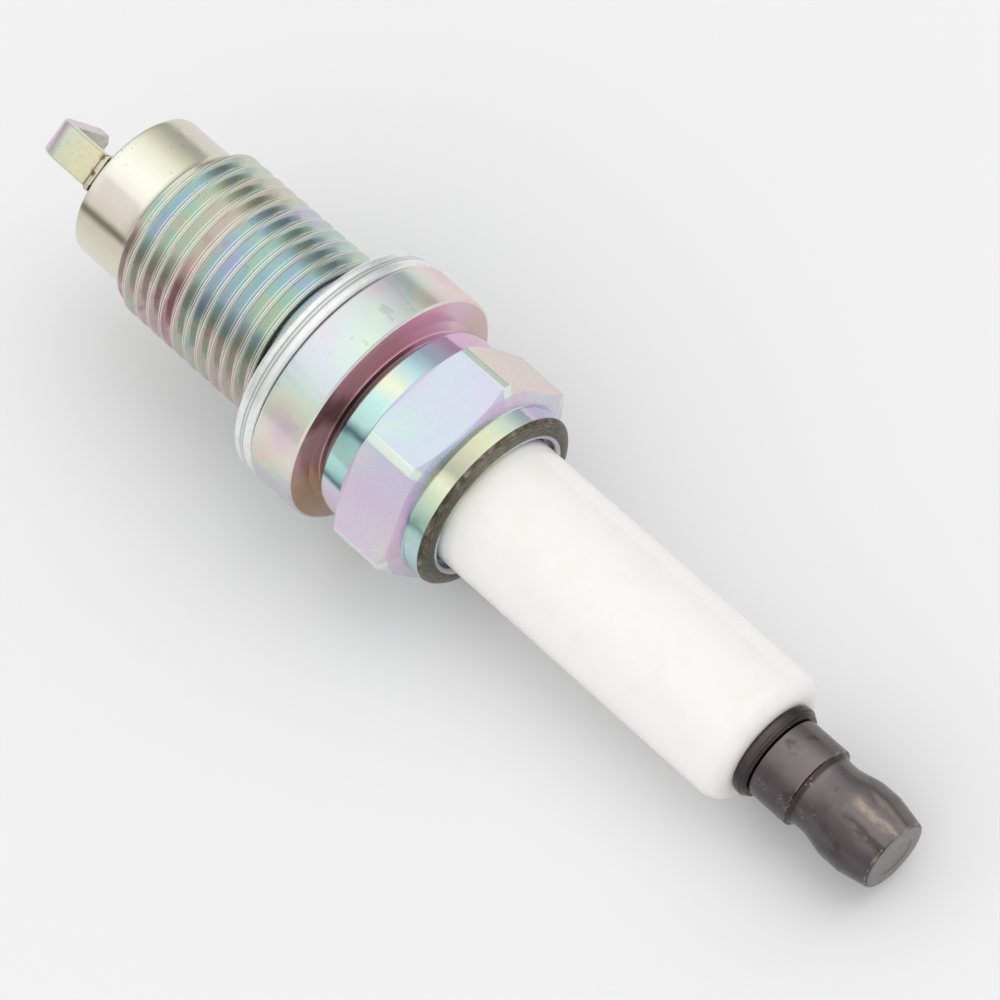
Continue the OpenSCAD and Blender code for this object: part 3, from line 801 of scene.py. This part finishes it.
ceramicStart, ceramicEnd = nodeSpan("insulator")
ceramicSpec = {
    "barrelRadius": 5.33,
    "endRounding": 1.9,
    "tipRadius": 2.3,
    "boreRadius": 2.05,
    "electrodeBore": 1.3,
    "electrodeSeat": (-10.65, -10.0),  # where the bore widens for the electrode's head
    "insideShell": [  # (station, radius, rounding), up to the powder and wires that pack its upper end
        (-15.5, 3.3, 0.8), (-14.7, 3.78, 0.3), (-13.0, 3.78, 0.1), (-12.2, 4.75, 0.1), (-0.5, 4.75, 0.2),
        (0.6, 5.98, 0.3), (7.8, 5.98, 0.3), (8.35, 5.08, 0.2), (14.1, 5.08, 0)],
    "columns": 192,
}


def ceramicGlaze():
    material, tree, shader, space = startMaterial("ceramicGlaze")
    cloud = noise(tree, space["Place"], 0.35, 3.0, 0.55)
    tint = colourRamp(tree, cloud, [(0.3, "e9e8e3"), (0.55, "ecebe7"), (0.75, "eae8e2")])
    bare = stretch(tree, space["Station"], -11.0, -13.5, smooth=True)  # the firing end has no glaze
    tint = mixColour(tree, bare, tint, hexColour("e9e4d8"))
    tint = tintWhere(tree, specks(tree, space, 0.5, 0.22), 0.25, tint, "b9b4aa")
    setFinish(tree, shader, tint, stretch(tree, bare, 0, 1, 0.2, 0.5), 0)
    shader.inputs["IOR"].default_value = 1.56
    shader.inputs["Coat Weight"].default_value = 0.25
    shader.inputs["Coat Roughness"].default_value = 0.08
    addBump(tree, shader, noise(tree, space["Place"], 0.5, 2.0, 0.5), 0.15, 0.05)
    return material


def makeCeramic():
    barrel, bore, narrow = [ceramicSpec[key] for key in ("barrelRadius", "boreRadius", "electrodeBore")]
    low, high = ceramicSpec["electrodeSeat"]
    packedEnd = ceramicSpec["insideShell"][-1][0]
    corners = [(ceramicStart, narrow + 0.02), (ceramicStart, ceramicSpec["tipRadius"], 0.45)]
    corners += ceramicSpec["insideShell"] + [
        (packedEnd + 0.05, barrel), (ceramicEnd, barrel, ceramicSpec["endRounding"]), (ceramicEnd, bore, 0.1),
        (high, bore), (low, narrow), (ceramicStart, narrow)]
    rings = roundCorners(corners, True, 10)
    piece = wrapSkin("ceramicBody", rings, evenAngles(ceramicSpec["columns"]), [ceramicGlaze()])
    return hand(piece, "plug", "glazed_alumina", "insulator")


makeCeramic()
print("ceramic made")

# terminal: a stud with a thin collar, and the nut that screws onto it

studTop = nodeSpan("terminal_stud")[1]
nutStart, nutEnd = nodeSpan("terminal_nut")
skirtEnd = nutStart + 3.3
terminalSpec = {
    "collarRadius": 3.69,
    "skirtRadius": 3.175,
    "waistRadius": 2.76,
    "bulgeStart": 6.85,
    "bulgeEnd": 8.05,
    "faceRadius": 2.66,
    "stemStart": 11.6,
    "stemTip": 1.2,
    "stemRadius": 1.85,
    "boreDepth": 8.9,
    "drillPoint": 9.5,
    "columns": 160,
    "studColumns": 96,
}
studThread = {
    "pitch": 0.7,
    "firstCrest": nutStart + 0.6,
    "start": nutStart + 0.3,
    "end": studTop - 0.25,
    "startRadius": 1.62,
    "endRadius": 1.62,
    "leadIn": 1.2,
    "runOut": 1.2,
    "offsets": [0.0, 0.07, 0.11, 0.29, 0.35],
    "radii": [1.96, 1.96, 1.93, 1.63, 1.61],
}
nutThread = {
    "pitch": 0.7,
    "firstCrest": nutStart + 0.6 + 0.35,
    "start": nutStart + 0.5,
    "end": nutStart + terminalSpec["boreDepth"] - 0.3,
    "startRadius": 2.05,
    "endRadius": 2.05,
    "leadIn": 1.0,
    "runOut": 1.0,
    "offsets": [0.0, 0.06, 0.2, 0.35],
    "radii": [2.16, 2.16, 2.05, 2.04],
}
nutFinishAndPaintedLight = {
    "clouds": [(0.3, "757073"), (0.5, "807a7b"), (0.7, "887f7b")],
    # sides: painted light by angle, lightest near the top and darker towards the sides
    "sides": [(-180, "c4c0bc"), (-70, "9a9694"), (-42, "eae4de"), (-12, "ffffff"), (10, "f2ecea"),
              (26, "e0dcda"), (40, "c4c0c2"), (58, "c0bdc0"), (75, "b2b0b2"), (100, "b4b0b0"),
              (180, "c4c0bc")],
    "rubbed": [(skirtEnd - 0.03, 0.09, 1.9), (nutEnd - 0.12, 0.13, 1.7)],  # station, width, how broken up
    # painted shade on the waist just past the skirt's step
    "shade": (skirtEnd - 0.02, skirtEnd + 0.5),
    "glints": [(-6, 0.9, "b5a391"), (21, 1.1, "4a4242"), (-26, 0.8, "a1958b")],  # angle, width, colour of painted highlights and one painted dark reflection on the bulge
    "endFace": "7a7775",
}
studFinishAndPaintedLight = {
    "clouds": [(0.3, "5c5557"), (0.5, "686163"), (0.7, "746b66")],
    # sides: painted light by angle, lightest near the top and darker towards the sides
    "sides": [(-180, "c4c0bc"), (-50, "a8a4a2"), (-10, "f0ece8"), (30, "d0ccca"), (60, "a4a0a0"),
              (180, "c4c0bc")],
    "rubbed": [],
    # painted shade on the stud just below the nut
    "shade": (nutStart - 0.26, nutStart + 0.02),
    "glints": [],
    "endFace": "6a6466",
}


def darkMetal(name, look):  # gunmetal plating, with painted shade under its step, painted light that is lighter near the top, painted highlights and a painted dark reflection on its bulge, and rubbed to a warm shine on its edges
    material, tree, shader, space = startMaterial(name)
    tint = colourRamp(tree, noise(tree, space["Place"], 0.3, 2.0, 0.5, 0.3), look["clouds"])
    # painted light by angle: lighter near the top, darker towards the sides
    tint = mixColour(tree, 1.0, tint, turnTint(tree, space, look["sides"], 16, 0.5), "MULTIPLY")
    stains = stretch(tree, noise(tree, space["Place"], 0.55, 2.0, 0.5), 0.62, 0.7, smooth=True)
    tint = tintWhere(tree, stains, 0.5, tint, "453e3f")
    onBulge = stretch(tree, space["Station"], nutStart + 6.0, nutStart + 7.4, smooth=True)
    streaky = vectorMath(tree, "MULTIPLY", space["Place"], (0.35, 1, 1))[0]
    ragged = stretch(tree, noise(tree, streaky, 1.4, 3.0, 0.6), 0.36, 0.62, smooth=True)
    # painted highlights and one painted dark reflection on the bulge
    for degrees, width, code in look["glints"]:
        away = apart(tree, space["Angle"], degrees)
        glint = times(tree, stretch(tree, away, width * 12, width * 3, smooth=True), onBulge)
        tint = tintWhere(tree, times(tree, glint, ragged), 0.8, tint, code)
    # painted shade under the step
    shadeStart, shadeEnd = look["shade"]
    shade = times(tree, stretch(tree, space["Station"], shadeStart, shadeStart + 0.06),
                  stretch(tree, space["Station"], shadeEnd, shadeEnd - 0.2, smooth=True))
    tint = tintWhere(tree, shade, 0.75, tint, "3a3536")
    tint = tintWhere(tree, specks(tree, space, 0.7, 0.34), 0.5, tint, "a89c90")
    onSide = stretch(tree, space["Radius"], 2.35, 2.5)
    for station, width, broken in look["rubbed"]:
        rub = useGroup(tree, bandMask, {"Value": space["Station"], "Centre": station, "Width": width,
                                        "Place": space["Place"], "Ragged": broken})["Mask"]
        tint = tintWhere(tree, times(tree, rub, onSide), 0.6, tint, "a89470")
    onFace = times(tree, stretch(tree, space["Station"], nutEnd - 0.1, nutEnd - 0.07),
                   stretch(tree, space["Radius"], 2.56, 2.48))
    tint = mixColour(tree, onFace, tint, hexColour(look["endFace"]))
    rough = stretch(tree, noise(tree, space["Place"], 1.3, 3.0, 0.6), 0.3, 0.7, 0.2, 0.32)
    setFinish(tree, shader, tint, rough)
    rings = times(tree, ringMarks(tree, space, 1.2)["Height"], 0.5)
    addBump(tree, shader, math2(tree, "ADD", rings, noise(tree, space["Place"], 0.9, 2.0)), 0.35, 0.02)
    return material


def makeStud():
    collar, stem, start = [terminalSpec[key] for key in ("collarRadius", "stemRadius", "stemStart")]
    seat = ceramicEnd + 0.02
    angles = evenAngles(terminalSpec["studColumns"])
    rings = roundCorners([
        (start, 0.0), (start, terminalSpec["stemTip"]), (start + 0.5, stem, 0.2), (seat, stem),
        (seat, collar - 0.1), (seat + 0.18, collar, 0.12), (seat + 0.6, collar, 0.12),
        (seat + 0.7, collar - 0.14, 0.05), (seat + 0.78, collar - 0.13, 0.05),
        (nutStart - 0.02, collar - 0.28, 0.08), (nutStart, 1.75),
        (nutStart + 0.1, studThread["startRadius"])])
    rings += threadRings(studThread, angles)
    rings += [(studTop - 0.2, 1.55, 0), (studTop, 1.3, 0), (studTop, 0.0, 0)]
    piece = wrapSkin("terminalStud", rings, angles, [darkMetal("studMetal", studFinishAndPaintedLight)])
    return hand(piece, "plug", "dark_steel", "terminal_stud")


def makeNut():
    spec = terminalSpec
    skirt, waist, face = spec["skirtRadius"], spec["waistRadius"], spec["faceRadius"]
    bulgeStart, bulgeEnd = nutStart + spec["bulgeStart"], nutStart + spec["bulgeEnd"]
    mouth = (nutStart + 0.02, 2.35)
    corners = [mouth, (nutStart + 0.02, skirt - 0.06, 0.05), (nutStart + 0.1, skirt, 0.05),
               (skirtEnd - 0.03, skirt, 0.07), (skirtEnd + 0.02, waist + 0.2, 0.04),
               (skirtEnd + 0.3, waist + 0.06, 0.2), (skirtEnd + 0.62, waist, 0.3)]
    corners += easeRadius(waist, skirt, skirtEnd + 0.95, bulgeStart, 18)
    corners += [(bulgeEnd, skirt, 0.8), (nutEnd - 0.1, face + 0.06, 0.12), (nutEnd, face - 0.1, 0.05),
                (nutEnd, 1.62, 0.03), (nutEnd - 0.05, 1.52, 0.04), (nutEnd - 0.06, 0.0)]
    angles = evenAngles(spec["columns"])
    inside = [(nutStart + spec["drillPoint"], 0.0, 0), (nutStart + spec["boreDepth"], 2.05, 0)]
    inside += threadRings(nutThread, angles)[::-1] + [(nutStart + 0.35, 2.06, 0), (*mouth, 0)]
    finish = darkMetal("nutMetal", nutFinishAndPaintedLight)
    piece = wrapSkin("snapNut", roundCorners(corners), angles, [finish])
    bore = wrapSkin("snapNutBore", inside, angles, [finish])
    both = bmesh.new()
    both.from_mesh(piece.data)
    both.from_mesh(bore.data)
    bmesh.ops.remove_doubles(both, verts=both.verts, dist=1e-7)
    both.to_mesh(piece.data)
    both.free()
    piece.data.set_sharp_from_angle(angle=math.radians(42))
    bpy.data.objects.remove(bore)
    return hand(piece, "terminal_nut", "dark_steel", "terminal_nut")


makeStud()
makeNut()
print("terminal made")

# firing end: centre electrode, fine tip and the pad on the strap

electrodeStart, electrodeEnd = nodeSpan("centre_electrode")
tipStart, tipEnd = nodeSpan("firing_tip")
padStart, padEnd = nodeSpan("ground_pad")
firingSpec = {
    "shaftRadius": 1.25,
    "shaftEnd": -10.6,
    "headRadius": 1.95,
    "headSpan": (-9.95, -8.8),  # where the head rests in the ceramic
    "stubRadius": 1.15,
    "tipRadius": 0.3,
    "padRadius": 0.4,
    "columns": 72,
}


def turnedNickel(name, light, dark, low, high):
    return turnedMetal(name, light, dark, 4.0, low, high, 0.25, 0.008)


def turnedPiece(name, corners, finish, slotName, nodeName):
    piece = wrapSkin(name, roundCorners(corners), evenAngles(firingSpec["columns"]), [finish])
    return hand(piece, "plug", slotName, nodeName)


def makeFiringEnd():
    shaft, head, stub = firingSpec["shaftRadius"], firingSpec["headRadius"], firingSpec["stubRadius"]
    tip, pad = firingSpec["tipRadius"], firingSpec["padRadius"]
    headStart, headEnd = firingSpec["headSpan"]
    corners = [(electrodeStart, 0.0), (electrodeStart, tip + 0.13, 0.03),
               (electrodeStart + 0.38, shaft, 0.08), (firingSpec["shaftEnd"], shaft), (headStart, head),
               (headEnd, head), (headEnd, stub), (electrodeEnd, stub), (electrodeEnd, 0.0)]
    nickel = turnedNickel("nickelTurned", "d2cbbb", "b5ad9c", 0.24, 0.34)
    turnedPiece("centreElectrode", corners, nickel, "nickel_alloy", "centre_electrode")
    corners = [(tipStart, 0.0), (tipStart, tip, 0.05), (tipEnd - 0.1, tip), (tipEnd, tip), (tipEnd, 0.0)]
    bright = turnedNickel("tipMetal", "dcdad6", "c2bfba", 0.16, 0.24)
    turnedPiece("fineTip", corners, bright, "precious_metal", "firing_tip")
    corners = [(padStart, 0.0), (padStart, pad), (padEnd, pad, 0.05), (padEnd, 0.0)]
    brighter = turnedNickel("padMetal", "e4e3e0", "cfccc7", 0.14, 0.22)
    turnedPiece("groundPad", corners, brighter, "precious_metal", "ground_pad")


makeFiringEnd()
print("firing end made")

# what is sealed inside keeps its CAD shape and gets a finish of its own


def grainyFinish(name, light, dark, size, metallic, roughness, bump):
    material, tree, shader, space = startMaterial(name)
    grain = noise(tree, space["Place"], size, 4.0, 0.65)
    tint = colourRamp(tree, grain, [(0.35, dark), (0.65, light)])
    setFinish(tree, shader, tint, stretch(tree, grain, 0.3, 0.7, roughness, roughness + 0.15), metallic)
    addBump(tree, shader, grain, 0.4, bump)
    return material


innerFinishes = {
    "packingSteel": (("b9bbb8", "8f9290", 3.0, 1, 0.32, 0.01),
                     ["seat_packing", "lower_wire_ring", "upper_wire_ring"]),
    "talcPowder": (("e6e0d2", "cfc8b8", 2.4, 0, 0.8, 0.04), ["talc_fill"]),
    "copperCore": (("d79a74", "b87b58", 2.0, 1, 0.28, 0.01), ["electrode_core"]),
    "copperGlass": (("7a5a44", "4a3a32", 3.4, 0, 0.45, 0.03), ["lower_glass_seal", "upper_glass_seal"]),
    "carbonGlass": (("3a3836", "1f1e1e", 3.0, 0, 0.55, 0.04), ["resistor"]),
}
for finishName, (values, nodeNames) in innerFinishes.items():
    finish = grainyFinish(finishName, *values)
    for nodeName in nodeNames:
        cadNodes[nodeName].data.materials.clear()
        cadNodes[nodeName].data.materials.append(finish)
print("inner pieces finished")

# stage: floor, light tent, key light and camera

stageSpec = {
    "floorTilt": 6.5,  # degrees: the plug lies on its flange's rim and on the ceramic's end
    "floorSize": 8.0,  # metres
    "floorColour": "e8e8e9",
    "ambient": 0.86,
    "sideFill": 0.4,
    "tentStrength": 1.12,
    "skyline": [(0.4, "9c9c9c"), (0.5, "a8a8a8"), (0.56, "b2b2b2"), (0.65, "c8c8c8"), (0.76, "dedede"),
                (0.86, "f4f4f4"), (0.93, "ffffff")],
    "keyStrength": 0.62,
    "keyAngle": 46,
    "keyFrom": (0.1, 0.36, 0.93),
}


def makeFloor():
    tilt = math.radians(stageSpec["floorTilt"])
    rim = Vector((shellSpec["flangeHeight"] * mm, 0, -shellSpec["flangeRadius"] * mm))
    along, across = Vector((math.cos(tilt), 0, math.sin(tilt))), Vector((0, 1, 0))
    half = stageSpec["floorSize"] / 2
    shape = bmesh.new()
    corners = [rim + (along * a + across * b) * half for a, b in ((-1, -1), (1, -1), (1, 1), (-1, 1))]
    shape.faces.new([shape.verts.new(corner) for corner in corners])
    mesh = bpy.data.meshes.new("floor")
    shape.to_mesh(mesh)
    shape.free()
    material = bpy.data.materials.new("paleFloor")
    material.use_nodes = True
    shader = material.node_tree.nodes["Principled BSDF"]
    shader.inputs["Base Color"].default_value = hexColour(stageSpec["floorColour"])
    shader.inputs["Roughness"].default_value = 0.8
    shader.inputs["Specular IOR Level"].default_value = 0.1
    mesh.materials.append(material)
    floor = bpy.data.objects.new("floor", mesh)
    bpy.context.scene.collection.objects.link(floor)


def makeTent():  # even light for matt surfaces, and a tent with a darker skyline for the metal to mirror
    world = bpy.data.worlds.new("lightTent")
    world.use_nodes = True
    tree = world.node_tree
    split = splitVector(tree, addNode(tree, "ShaderNodeTexCoord").outputs["Generated"])
    sky = colourRamp(tree, stretch(tree, split["Z"], -1, 1), stageSpec["skyline"], False)
    near = times(tree, stretch(tree, split["Y"], 0.1, -0.9, 0.0, 0.28), stretch(tree, split["Z"], 0.9, 0.1))
    sky = mixColour(tree, near, sky, hexColour("ffffff"))
    matt = addNode(tree, "ShaderNodeLightPath").outputs["Is Diffuse Ray"]
    ambient = stageSpec["ambient"]
    fill = stretch(tree, split["Y"], 0.0, -1.0, ambient, ambient + stageSpec["sideFill"])
    strength = addNode(tree, "ShaderNodeMix", {0: matt, 2: stageSpec["tentStrength"], 3: fill}).outputs[0]
    background = tree.nodes["Background"].inputs
    tree.links.new(mixColour(tree, matt, sky, (1, 1, 1, 1)), background["Color"])
    tree.links.new(strength, background["Strength"])
    bpy.context.scene.world = world


def makeKey():  # broad and high at the far side, so the shadow falls softly towards -Y
    light = bpy.data.lights.new("keyLight", "SUN")
    light.energy = stageSpec["keyStrength"]
    light.angle = math.radians(stageSpec["keyAngle"])
    key = bpy.data.objects.new("keyLight", light)
    key.rotation_mode = "QUATERNION"
    key.rotation_quaternion = (-Vector(stageSpec["keyFrom"])).to_track_quat("-Z", "Y")
    key.visible_glossy = False
    bpy.context.scene.collection.objects.link(key)


cameraSpec = {
    "azimuth": 56.37,
    "elevation": 63.3,
    "roll": -11.81,
    "aim": (14.18, 0.567, -0.63),
    "distance": 356.6,
    "lens": 187.6,
}


def makeCamera():
    azimuth, elevation = math.radians(cameraSpec["azimuth"]), math.radians(cameraSpec["elevation"])
    level = math.cos(elevation)
    back = Vector((math.sin(azimuth) * level, -math.cos(azimuth) * level, math.sin(elevation)))
    data = bpy.data.cameras.new("camera")
    data.lens = cameraSpec["lens"]
    data.clip_start, data.clip_end = 0.01, 20
    camera = bpy.data.objects.new("camera", data)
    camera.location = (Vector(cameraSpec["aim"]) + back * cameraSpec["distance"]) * mm
    camera.rotation_mode = "QUATERNION"
    roll = Quaternion((0, 0, 1), math.radians(cameraSpec["roll"]))
    camera.rotation_quaternion = (-back).to_track_quat("-Z", "Y") @ roll
    bpy.context.scene.collection.objects.link(camera)
    bpy.context.scene.camera = camera


makeFloor()
makeTent()
makeKey()
makeCamera()
bpy.context.scene.view_settings.view_transform = "Standard"
print("stage, lights and camera made")
